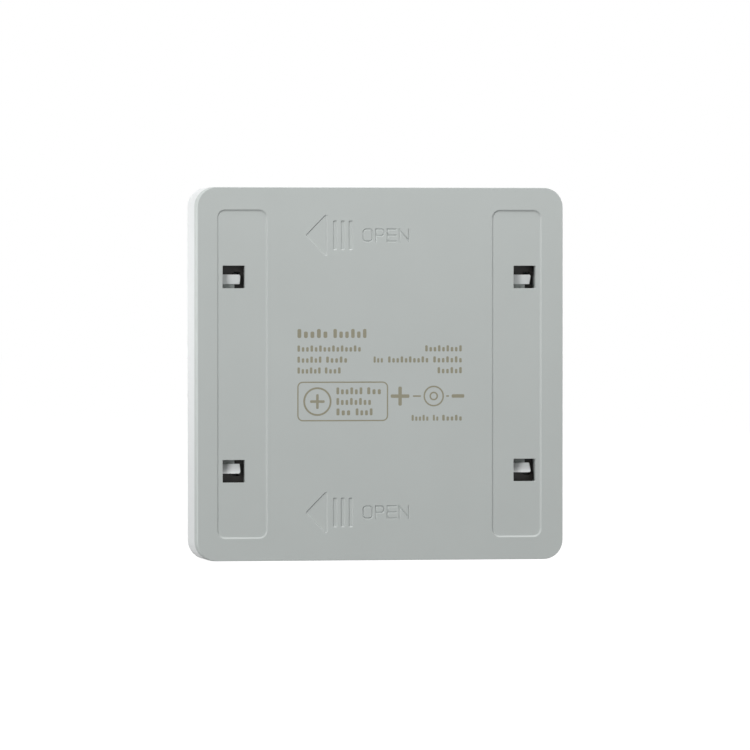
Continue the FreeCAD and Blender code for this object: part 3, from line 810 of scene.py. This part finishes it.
def mark_cutter(look):
    """An arrow, three bars and a word, which say which way the cover slides off."""
    grown = in_mm(look.lip)
    wall_line = pocket_wall(in_mm(look.mark_slope), engraving_depth, grown, grown * fine_lip)
    tip = arrow_apex - 2 * grown
    side = arrow_apex + arrow_width + grown
    rise = arrow_height / 2 + 2 * grown
    arrow = right_block("arrow", (tip, side), mouth, (mark_up - rise, mark_up + rise))
    edit(arrow)
    pick(arrow, "FACE", lies_at(0, -tip))
    bpy.ops.transform.resize(value=(1, 1, 0))
    bpy.ops.mesh.select_all(action="SELECT")
    bpy.ops.mesh.remove_doubles(threshold=tiny)
    round_edges(arrow, runs_along(1, lies_at(0, -tip)), arrow_apex_cut + grown, mark_steps)
    round_edges(arrow, runs_along(1, lies_at(0, -side)), arrow_corner_cut + grown, mark_steps)
    cutters = [carve(arrow, -mouth[1], wall_line)]
    for number in range(bar_count):
        middle = bar_first + number * bar_pitch
        reach = bar_width / 2 + grown
        rise = bar_height / 2 + grown
        bar = slab("bar", (-middle - reach, -middle + reach), mouth, (mark_up - rise, mark_up + rise),
                   bar_corner + grown, mark_steps)
        cutters.append(carve(bar, -mouth[1], wall_line))
    cutters.append(word_cutter(look, mark_up))
    return joined("mark", cutters)


def window_places():
    return [(x_side * window_across, z_side * window_up, z_side) for x_side, z_side in quarters]


def surface_cutter(look):
    """Everything that is sunk into the back: the tape strips and the opening marks."""
    grown = in_mm(look.lip)
    cutters = []
    for x_side in (1, -1):
        x = x_side * tape_across
        reach = tape_width / 2 + grown
        rise = tape_length / 2 + grown
        strip = slab("strip", (x - reach, x + reach), mouth, (-rise, rise), tape_radius + grown,
                     strip_steps)
        points = pocket_wall(in_mm(look.slope), tape_recess - ink_rise, grown, grown)
        cutters.append(carve(strip, -mouth[1], points))
    mark = mark_cutter(look)
    cutters.append(copied(mark, "lower_mark", move=(0, 0, -2 * mark_up)))
    cutters.append(mark)
    return joined("surface_cutter", cutters)


def window_cutter(look):
    """The four windows, from the floor of the strips through the skin."""
    lip = in_mm(look.lip)
    edge = soft_lip(lip, Vector((0, 1))) + [Vector((0, cover_skin - tape_recess + past))]
    reach = window_size / 2 + lip
    windows = []
    for x, z, z_side in window_places():
        window = slab("window", (x - reach, x + reach), (-past, tape_recess - mouth_gap),
                      (z - reach, z + reach), window_radius + lip, small_steps)
        carve(window, mouth_gap - tape_recess, edge)
        edit(window)
        pick(window, "FACE", lies_at(1, -cover_skin - past))
        draft = window_drafts[1 if x > 0 else -1]
        bpy.ops.transform.resize(value=(1 - draft / window_size, 1, 1),
                                 center_override=(x + window_size / 2, 0, 0))
        object_mode()
        windows.append(window)
    return joined("windows", windows)


def cover_ribs(look):
    """Guide ribs, the stop rib, and under each window a rib with the ledge that the tongue holds."""
    inner_half = half - wall
    rib_depth = (cover_skin - bury, cover_skin + guide_rib_depth)
    rib_outer = inner_half - guide_rib_clearance
    rib_end = inner_half - slide_travel - (corner_radius - wall) - guide_rib_clearance
    rib_start = inner_half - (corner_radius - wall) - guide_rib_width
    ribs = [block("guide_rib", (-rib_start, rib_end), rib_depth,
                  (z_side * rib_outer, z_side * (rib_outer - guide_rib_width))) for z_side in (1, -1)]
    ribs.append(block("stop_rib", (-rib_outer, -rib_outer + guide_rib_width), rib_depth,
                      (stop_rib_end_gap - half, half - stop_rib_end_gap)))
    for x, z, z_side in window_places():
        window_left = x + window_size / 2
        ledge_right = window_left - ledge_length
        rib_face = z_side * (window_up - window_size / 2)
        outer_face = z_side * (tongue_up + tongue_width / 2)
        rib = block("ledge_rib", (ledge_right, window_left), (cover_skin - bury, ledge_front),
                    (rib_face, rib_face - z_side * ledge_rib))
        ledge = block("ledge", (ledge_right, window_left), (ledge_back, ledge_front),
                      (rib_face - z_side * ledge_rib / 2, outer_face))
        ribs.append(combine(rib, ledge, "UNION"))
    for rib in ribs:
        soften(rib, in_mm(look.softness) / 2)
    return joined("ribs", ribs)


class SWITCH_OT_make_cover(bpy.types.Operator):
    """Models the grey back cover with its tape strips, windows, opening marks and inner ribs"""
    bl_idname = "switch.make_cover"
    bl_label = "Back cover"

    def execute(self, context):
        look = context.scene.switch_cover
        soft = in_mm(look.softness)
        cover = slab("cover_shell", (-half, half), (ink_rise + cover_edge_chamfer, cover_rim_depth),
                     (-half, half), corner_radius, corner_steps)
        edit(cover)
        pick(cover, "FACE", lies_at(1, -ink_rise - cover_edge_chamfer))
        bpy.ops.mesh.extrude_region_move(TRANSFORM_OT_translate={"value": (0, cover_edge_chamfer, 0)})
        bpy.ops.transform.resize(value=(1 - cover_edge_chamfer / half / 2, 1, 1),
                                 center_override=(-half, 0, 0))
        round_edges(cover, lies_at(1, -ink_rise), soft, soft_steps)
        round_edges(cover, lies_at(1, -cover_rim_depth), soft / 2, rim_steps)
        carve(cover, -cover_rim_depth, [Vector((soft / 2, 0)), Vector((cover_rim_width, 0)),
                                        Vector((cover_rim_width, cover_skin - cover_rim_depth))])
        combine(cover, surface_cutter(look), "DIFFERENCE")
        combine(cover, window_cutter(look), "DIFFERENCE")
        combine(cover, cover_ribs(look), "UNION")
        smooth(cover)
        hand_over(cover, "cover", "cover_plastic", cover_abs(look), "back_cover")
        return {"FINISHED"}


class SWITCH_OT_make_housing(bpy.types.Operator):
    """Models the white front housing with its deck, bosses, key ears and the four tongues"""
    bl_idname = "switch.make_housing"
    bl_label = "Front housing"

    def execute(self, context):
        look = context.scene.switch_housing
        soft = in_mm(look.softness)
        housing = slab("housing_shell", (-half, half), (housing_back, frame_front), (-half, half),
                       corner_radius, corner_steps)
        round_edges(housing, lies_at(1, -frame_front), frame_edge_radius, mark_steps)
        round_edges(housing, lies_at(1, -housing_back), soft, soft_steps)
        carve(housing, -frame_front, well_wall(frame_edge_radius, deck_front - frame_front, soft))
        carve(housing, -housing_back, well_wall(soft, housing_back - deck_back, soft))
        added, holes, hooks = [], [], []
        for x_side, z_side in quarters:
            hooks.append(housing_hook(look, x_side, z_side))
            added += housing_bosses(x_side, z_side)
            added += [ear_block(x, z_side) for x in ear_places(x_side)]
            holes += housing_holes(x_side, z_side)
        for rib in added:
            soften(rib, soft)
        combine(housing, joined("added", added + hooks), "UNION")
        combine(housing, joined("holes", holes), "DIFFERENCE")
        smooth(housing)
        hand_over(housing, "switch_body", "housing_plastic", housing_pc(look), "front_housing")
        return {"FINISHED"}


def well_wall(start, depth, lip):
    """Points from a rounded outer edge over the top of the housing's wall and down to the deck."""
    top = Vector((wall, 0))
    floor = Vector((wall, depth))
    return ([Vector((start, 0))] + bend(top - Vector((lip, 0)), top, top - Vector((0, lip)))
            + bend(floor + Vector((0, lip)), floor, floor + Vector((lip, 0))))


def housing_hook(look, x_side, z_side):
    """A post from the deck with a ramped tongue that lies over a ledge of the cover."""
    x = x_side * window_across
    slant = tongue_slants[x_side]
    right_end = x - window_size / 2 + tongue_end_gap
    left_end = x + window_size / 2 + tongue_under_skin
    outer = z_side * (tongue_up + tongue_width / 2)
    inner = z_side * (tongue_up - tongue_width / 2)
    tongue = block("tongue", (right_end, left_end), (tongue_back, tongue_front), (inner, outer))
    move_some(tongue, "EDGE", lambda edge: lies_at(1, -tongue_back)(edge) and lies_at(2, inner)(edge),
              (0, -tongue_ramp, 0))
    move_some(tongue, "EDGE", lambda edge: lies_at(0, right_end)(edge) and lies_at(2, inner)(edge),
              (slant, 0, 0))
    round_edges(tongue, runs_along(1, lies_at(0, right_end), lies_at(2, outer)), tongue_corner,
                small_steps)
    stem = block("stem", (right_end + slant + stem_inset, right_end + post_thickness),
                 (tongue_front - bury, deck_back + bury),
                 (inner + z_side * stem_inset, outer - z_side * stem_inset))
    soften(tongue, in_mm(look.softness))
    soften(stem, in_mm(look.softness))
    return combine(tongue, stem, "UNION")


def housing_bosses(x_side, z_side):
    board = (x_side * pcb_screw_across, z_side * pcb_screw_up)
    tray = (x_side * tray_screw_place, z_side * tray_screw_place)
    return [post("board_boss", *board, boss_radius, (pcb_front, deck_back + bury)),
            post("board_boss_tip", *board, boss_radius, (deck_front - bury, deck_front + boss_front)),
            post("tray_boss", *tray, boss_radius, (tray_front, deck_back + bury))]


def ear_places(x_side):
    """Middle of the two ears that carry one key."""
    low, high = sorted((x_side * key_inner, x_side * key_outer))
    reach = key_skirt + ear_gap + ear_thickness / 2
    return low + reach, high - reach


def ear_block(x, z_side):
    return block("ear", (x - ear_thickness / 2, x + ear_thickness / 2),
                 (deck_front - bury, key_roof - ear_cap_gap),
                 (z_side * pivot_up - ear_width / 2, z_side * pivot_up + ear_width / 2))


def housing_holes(x_side, z_side):
    """Openings for one key's switch, light, latch, screws and pivot pins."""
    through = (deck_back - past, deck_front + past)
    x = x_side * switch_across
    reach = switch_hole / 2
    holes = [slab("switch_hole", (x - reach, x + reach), through,
                  (z_side * switch_up - reach, z_side * switch_up + reach), switch_hole_corner,
                  soft_steps)]
    holes.append(post("light_hole", x, z_side * lens_up, lens_hole_radius, through))
    latch_z = z_side * (latch_inset + latch_leg / 2 + latch_barb / 2)
    slot_reach = (latch_leg + latch_barb) / 2 + latch_gap
    holes.append(block("latch_slot", (x - latch_width / 2 - latch_gap, x + latch_width / 2 + latch_gap),
                       through, (latch_z - slot_reach, latch_z + slot_reach)))
    holes.append(post("board_screw_hole", x_side * pcb_screw_across, z_side * pcb_screw_up, hole_radius,
                      (pcb_front - past, pcb_back + screw_reach), hole_sides))
    holes.append(post("tray_screw_hole", x_side * tray_screw_place, z_side * tray_screw_place, hole_radius,
                      (tray_front - past, tray_back + screw_reach), hole_sides))
    for ear_x in ear_places(x_side):
        holes.append(pin("pin_hole", (ear_x - ear_thickness, ear_x + ear_thickness), z_side * pivot_up,
                         pin_radius + pin_clearance))
    return holes


def light_bar(name, grow, depth):
    """The light bar of the first key, or with a gap added the slot that it fits."""
    width = lens_width + 2 * grow
    return slab(name, (switch_across - lens_length / 2 - grow, switch_across + lens_length / 2 + grow), depth,
                (lens_up - width / 2, lens_up + width / 2), width / 2 - lens_end_flat)


def first_key(look):
    """The upper left key, with its skirt, pivot pins, switch boss and latch."""
    key = block("key_cap_1", (key_inner, key_outer), (key_skirt_back, thickness), (key_inner, key_outer))
    outer_corner = runs_along(1, lies_at(0, key_outer), lies_at(2, key_outer))
    other_corners = runs_along(1, lambda edge: min(edge.verts[0].co.xz) < key_inner + tiny)
    round_edges(key, outer_corner, key_outer_corner, round_steps)
    round_edges(key, other_corners, key_inner_corner, mark_steps)
    round_edges(key, lies_at(1, -thickness), key_edge_radius, mark_steps)
    inside = (key_inner + key_skirt, key_outer - key_skirt)
    room = slab("room", inside, (key_skirt_back - past, key_roof), inside, key_inner_corner / 2,
                small_steps)
    combine(key, room, "DIFFERENCE")
    root = key_skirt / 2
    pin_length = root + ear_gap + ear_thickness
    added = [pin("pin", (key_inner + root, key_inner + root + pin_length), pivot_up, pin_radius),
             pin("pin", (key_outer - root - pin_length, key_outer - root), pivot_up, pin_radius),
             post("boss", switch_across, switch_up, key_boss_radius,
                  (plunger_tip + key_touch_gap, key_roof + bury))]
    across = (switch_across - latch_width / 2, switch_across + latch_width / 2)
    barb_back = deck_back - latch_stop_gap - latch_barb_height
    leg = block("leg", across, (barb_back, key_roof + bury), (latch_inset, latch_inset + latch_leg))
    barb = block("barb", across, (barb_back, barb_back + latch_barb_height),
                 (latch_inset + latch_leg / 2, latch_inset - latch_gap - latch_barb))
    added.append(combine(leg, barb, "UNION"))
    lip = in_mm(look.softness)
    slot = light_bar("slot", lens_gap + lip, (thickness + mouth_gap, thickness + past))
    slot_wall = soft_lip(lip, Vector((0, 1))) + [Vector((0, thickness - key_roof + past))]
    carve(slot, -thickness - mouth_gap, slot_wall)
    combine(key, slot, "DIFFERENCE")
    for rib in added:
        soften(rib, lip)
    return combine(key, joined("added", added), "UNION")


def on_each_key(first, name, slot, material, part):
    """Copies the first key's finished piece to every key, mirrored, and hands the copies over."""
    copies = [copied(first, f"{name}_{number + 1}", mirror=side) for number, side in enumerate(quarters)]
    bpy.data.objects.remove(first)
    for number, piece in enumerate(copies):
        piece.name = f"{name}_{number + 1}"
        smooth(piece)
        hand_over(piece, f"key_{number + 1}", slot, material, f"{part}_{number + 1}")


class SWITCH_OT_make_keys(bpy.types.Operator):
    """Models one key and copies it to the other three quarters"""
    bl_idname = "switch.make_keys"
    bl_label = "Keys"

    def execute(self, context):
        look = context.scene.switch_keys
        on_each_key(first_key(look), "key_cap", "key_plastic", key_pc(look), "key")
        return {"FINISHED"}


class SWITCH_OT_make_light_bars(bpy.types.Operator):
    """Models one light bar with its flange and copies it to the other keys"""
    bl_idname = "switch.make_light_bars"
    bl_label = "Light bars"

    def execute(self, context):
        look = context.scene.switch_keys
        bar = light_bar("light_bar", 0, (key_roof - bury, thickness))
        round_edges(bar, lies_at(1, -thickness), lens_edge_radius, soft_steps)
        reach = lens_length / 2 + lens_flange
        rise = lens_width / 2 + lens_flange
        flange = slab("flange", (switch_across - reach, switch_across + reach),
                      (key_roof - lens_flange, key_roof), (lens_up - rise, lens_up + rise),
                      lens_flange_corner, small_steps)
        combine(bar, flange, "UNION")
        on_each_key(bar, "light_bar", "lens_plastic", light_pipe(look), "key_lens")
        return {"FINISHED"}


class SWITCH_OT_make_stage(bpy.types.Operator):
    """Sets up the plain floor, the soft lights and the camera"""
    bl_idname = "switch.make_stage"
    bl_label = "Stage"

    def execute(self, context):
        look = context.scene.switch_stage
        scene = context.scene
        scene.view_settings.view_transform = "Standard"
        object_mode()
        bpy.ops.mesh.primitive_plane_add(size=floor_size, location=(0, 0, -(half + floor_gap) * mm))
        floor = named("floor")
        floor.data.materials.append(floor_paint(look))
        light_room(look)
        soft_light("overhead_softbox", *overhead_softbox, look.overhead_power)
        soft_light("front_softbox", *front_softbox, look.front_power)
        soft_light("key_side_softbox", *key_side_softbox, look.far_power)
        soft_light("side_softbox", *side_softbox, look.side_power, side_softbox_aim, side_softbox_spread)
        place_camera(look)
        return {"FINISHED"}


def place_camera(look):
    """A long lens from the photographed side, aimed just off the middle of the back."""
    level = look.distance * math.cos(look.elevation)
    spot = (level * math.sin(look.azimuth), level * math.cos(look.azimuth),
            look.distance * math.sin(look.elevation))
    object_mode()
    bpy.ops.object.camera_add(location=spot)
    camera = bpy.context.object
    camera.name = "camera"
    way = (aim_across - spot[0], -spot[1], aim_up - spot[2])
    flat = math.hypot(way[0], way[1])
    camera.rotation_euler = (math.pi / 2 + math.atan2(way[2], flat), 0, math.atan2(-way[0], way[1]))
    camera.data.sensor_width = sensor_width
    camera.data.lens = sensor_width * look.distance / look.sight
    bpy.context.scene.camera = camera


def seen_directly(tree):
    """One for camera, glossy and transmission rays, and nothing for the light that falls on things."""
    path = node(tree, "ShaderNodeLightPath").outputs
    first = node(tree, "ShaderNodeMath", {0: path["Is Camera Ray"], 1: path["Is Glossy Ray"]},
                 operation="MAXIMUM")
    return node(tree, "ShaderNodeMath", {0: first.outputs[0], 1: path["Is Transmission Ray"]},
                operation="MAXIMUM").outputs[0]


def light_room(look):
    """Even light all round, which shows as plain white."""
    world = bpy.data.worlds.new("white_room")
    bpy.context.scene.world = world
    world.use_nodes = True
    tree = world.node_tree
    tree.nodes.clear()
    strength = node(tree, "ShaderNodeMapRange", {
        "Value": seen_directly(tree), "To Min": look.ambient, "To Max": 1.0})
    light = node(tree, "ShaderNodeBackground", {
        "Color": (1, 1, 1, 1), "Strength": strength.outputs["Result"]})
    node(tree, "ShaderNodeOutputWorld", {"Surface": light.outputs["Background"]})


def floor_paint(look):
    """Matt white board. It looks plain white, keeps a faint shadow and throws little light back."""
    material, tree = new_tree("matt_white_board")
    glow = node(tree, "ShaderNodeEmission", {
        "Color": look.floor_colour, "Strength": 1 - look.shadow * look.ambient})
    faint = node(tree, "ShaderNodeBsdfDiffuse", {"Color": [look.shadow] * 3 + [1.0]})
    board = node(tree, "ShaderNodeBsdfDiffuse", {"Color": [floor_bounce] * 3 + [1.0]})
    shown = node(tree, "ShaderNodeAddShader", {0: glow.outputs["Emission"], 1: faint.outputs["BSDF"]})
    mixed = node(tree, "ShaderNodeMixShader", {
        0: seen_directly(tree), 1: board.outputs["BSDF"], 2: shown.outputs["Shader"]})
    node(tree, "ShaderNodeOutputMaterial", {"Surface": mixed.outputs["Shader"]})
    return material


def soft_light(name, place, size, power, aim=(0, 0, 0), spread=math.pi):
    """A rectangular softbox that faces a point. A spread under a half turn is a grid in front of it."""
    object_mode()
    way = [end - start for start, end in zip(place, aim)]
    turn = (math.atan2(math.hypot(way[0], way[1]), -way[2]), 0, math.atan2(-way[0], way[1]))
    bpy.ops.object.light_add(type="AREA", location=place, rotation=turn)
    lamp = bpy.context.object
    lamp.name = name
    lamp.data.shape = "RECTANGLE"
    lamp.data.size = size[0]
    lamp.data.size_y = size[1]
    lamp.data.energy = power
    lamp.data.spread = spread
    lamp.visible_camera = False


class SWITCH_OT_dress_inside(bpy.types.Operator):
    """Gives the inner pieces that come from the frame the finish of their real material"""
    bl_idname = "switch.dress_inside"
    bl_label = "Inner finishes"

    def execute(self, context):
        made = {"solder_mask_on_glass_epoxy": solder_mask()}
        for name, (code, grain, depth, roughness, mottle) in inner_mouldings.items():
            made[name] = moulded(name, linear(code), grain * mm, depth * mm, roughness, mottle)
        for name, (code, roughness, brush, stretch) in inner_platings.items():
            made[name] = plated(name, linear(code), roughness, brush * mm, stretch)
        slots = {part["node"]: part["material_slot"] for part in frame["record"]["subparts"]}
        for name, piece in frame["nodes"].items():
            finish = slot_finishes.get(slots[name])
            if finish and not piece.hide_render:
                piece.data.materials.clear()
                piece.data.materials.append(made[finish])
        return {"FINISHED"}


class SWITCH_OT_print_back(bpy.types.Operator):
    """Prints generic rows, a polarity sign and a cell pictogram on the back"""
    bl_idname = "switch.print_back"
    bl_label = "Back print"

    def execute(self, context):
        look = context.scene.switch_print
        marks = printed_rows() + printed_frame(look) + printed_signs(look)
        ink = joined("back_print", marks)
        smooth(ink)
        hand_over(ink, "cover", "cover_plastic", pad_ink(look))
        return {"FINISHED"}


def ink_bar(right0, right1, up, height, layer=ink_layer):
    """One printed dash with round ends, given in millimetres as seen from behind."""
    return slab("dash", (-right0, -right1), layer, (up - height / 2, up + height / 2),
                min(right1 - right0, height) * dash_rounding, soft_steps)


def ink_word(left, right, base, cap):
    """A word's place, filled with plain upright dashes of two heights."""
    count = round((right - left) / (cap * dash_pitch))
    step = (right - left) / count
    width = step * dash_share
    tall = ink_bar(left, left + width, base + cap / 2, cap)
    low = ink_bar(left, left + width, base + cap * low_dash / 2, cap * low_dash)
    dashes = [copied(tall if place % dash_rhythm in tall_places else low, "dash", move=(-place * step, 0, 0))
              for place in range(count)]
    bpy.data.objects.remove(tall)
    bpy.data.objects.remove(low)
    return dashes


def printed_rows():
    """Rows of plain dashes where the maker's details would be."""
    return [dash for base, cap, words in printed_words for left, right in words
            for dash in ink_word(left, right, base, cap)]


def ink_outline(right, up, radius, line):
    """A printed rounded outline, in millimetres as seen from behind."""
    outer = slab("outline", (-right[0], -right[1]), ink_layer, up, radius, corner_steps)
    edit(outer)
    pick(outer, "FACE", lies_at(1, 0.0, -ink_root))
    bpy.ops.mesh.inset(thickness=line)
    bpy.ops.mesh.bridge_edge_loops()
    object_mode()
    return outer


def plus_sign(right, up, length, width):
    """A plus sign, whose upright sinks a hair deeper so that no two faces share a plane."""
    sunk = tuple(depth + tiny * 2 for depth in ink_layer)
    flat = ink_bar(right - length / 2, right + length / 2, up, width)
    upright = ink_bar(right - width / 2, right + width / 2, up, length, sunk)
    return combine(flat, upright, "UNION")


def ink_ring(right, up, radius, line):
    return ink_outline((right - radius, right + radius), (up - radius, up + radius), radius - tiny * 10, line)


def printed_frame(look):
    """A frame that holds a coin cell seen from its positive face, beside three rows."""
    line = in_mm(look.line)
    return [ink_outline(frame_right, frame_up, frame_corner, line * frame_line),
            ink_ring(*cell_place, cell_radius, line * cell_line), plus_sign(*cell_place, *cell_plus)]


def printed_signs(look):
    """A polarity sign: plus, a ring with its middle contact, and minus."""
    line = in_mm(look.line) * sign_line
    signs = [plus_sign(sign_plus_right, sign_up, *sign_plus),
             ink_bar(*sign_minus, sign_up, sign_minus_height)]
    signs += [ink_ring(sign_ring_right, sign_up, radius, line) for radius in sign_rings]
    return signs + [ink_bar(*ends, sign_up, line) for ends in sign_joins]


class SWITCH_PT_pieces(bpy.types.Panel):
    """Lists the pieces of the wall switch"""
    bl_label = "Wall switch"
    bl_space_type = "VIEW_3D"
    bl_region_type = "UI"
    bl_category = "Wall switch"

    def draw(self, context):
        for operator in operators:
            self.layout.operator(operator.bl_idname)
        for group in looks:
            box = self.layout.box()
            settings = getattr(context.scene, group)
            for name in settings.__annotations__:
                box.prop(settings, name)


operators = (SWITCH_OT_make_stage, SWITCH_OT_make_cover, SWITCH_OT_print_back, SWITCH_OT_make_housing,
             SWITCH_OT_make_keys, SWITCH_OT_make_light_bars, SWITCH_OT_dress_inside)
looks = {"switch_cover": CoverLook, "switch_print": PrintLook, "switch_housing": HousingLook,
         "switch_keys": KeyLook, "switch_stage": StageLook}


def register():
    for made in (*looks.values(), *operators, SWITCH_PT_pieces):
        bpy.utils.register_class(made)
    for name, group in looks.items():
        setattr(bpy.types.Scene, name, PointerProperty(type=group))


def unregister():
    for name in looks:
        delattr(bpy.types.Scene, name)
    for made in (SWITCH_PT_pieces, *operators, *looks.values()):
        bpy.utils.unregister_class(made)


def main():
    register()
    bpy.ops.switch.make_stage()
    bpy.ops.switch.make_cover()
    bpy.ops.switch.print_back()
    bpy.ops.switch.make_housing()
    bpy.ops.switch.make_keys()
    bpy.ops.switch.make_light_bars()
    bpy.ops.switch.dress_inside()


if __name__ == "__main__":
    main()
